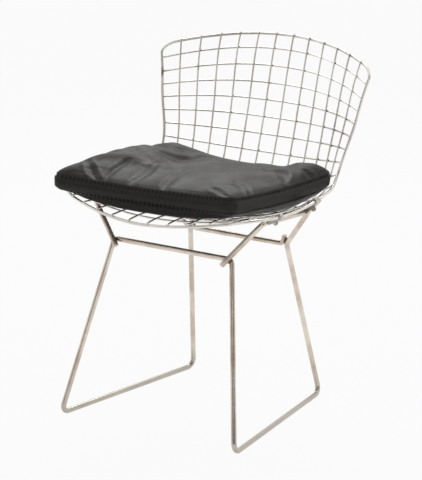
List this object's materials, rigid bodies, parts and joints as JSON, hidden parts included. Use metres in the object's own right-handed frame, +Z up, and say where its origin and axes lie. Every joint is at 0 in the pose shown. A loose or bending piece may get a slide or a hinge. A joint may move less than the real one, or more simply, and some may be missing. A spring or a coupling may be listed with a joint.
{
  "type": "wire side chair",
  "caption": "Wire mesh side chair: a welded wire shell, dished at the seat and curved at the back, on a bent rod base with floor runners, with a loose box-sided leather seat pad.",
  "frame": {"origin": "on the floor, under the middle of the chair's overall box", "axes": "+Z up, -Y the way the sitter faces, +X to the right when seen from the front"},
  "size_m": [0.5388, 0.5765, 0.7766],
  "materials": {
    "shell_wire": "aged plating",
    "base_rod": "aged plating",
    "clamp": "dull plating",
    "fastener": "dull plating",
    "cover_leather": "soft creased leather",
    "filling_foam": "foam"
  },
  "bodies": {
    "chair_frame": {"rim_wire": "shell_wire", "long_wire_01": "shell_wire", "long_wire_02": "shell_wire", "long_wire_03": "shell_wire", "long_wire_04": "shell_wire", "long_wire_05": "shell_wire", "long_wire_06": "shell_wire", "long_wire_07": "shell_wire", "long_wire_08": "shell_wire", "long_wire_09": "shell_wire", "long_wire_10": "shell_wire", "long_wire_11": "shell_wire", "long_wire_12": "shell_wire", "cross_wire_01": "shell_wire", "cross_wire_02": "shell_wire", "cross_wire_03": "shell_wire", "cross_wire_04": "shell_wire", "cross_wire_05": "shell_wire", "cross_wire_06": "shell_wire", "cross_wire_07": "shell_wire", "cross_wire_08": "shell_wire", "cross_wire_09": "shell_wire", "cross_wire_10": "shell_wire", "cross_wire_11": "shell_wire", "cross_wire_12": "shell_wire", "cross_wire_13": "shell_wire", "cross_wire_14": "shell_wire", "cross_wire_15": "shell_wire", "cross_wire_16": "shell_wire", "cross_wire_17": "shell_wire", "cross_wire_18": "shell_wire", "cross_wire_19": "shell_wire", "cross_wire_20": "shell_wire", "base_rod": "base_rod", "rear_bar": "base_rod", "clamp_upper_halves": "clamp", "clamp_lower_halves": "clamp", "clamp_bolts": "fastener", "clamp_nuts": "fastener"},
    "seat_pad": {"pad_cover": "cover_leather", "pad_filling": "filling_foam"}
  },
  "joints": [
    {"name": "pad_lift", "type": "slide", "parent": "chair_frame", "child": "seat_pad", "axis": [0, 0, 1], "range_m": [0, 0.35]}
  ]
}
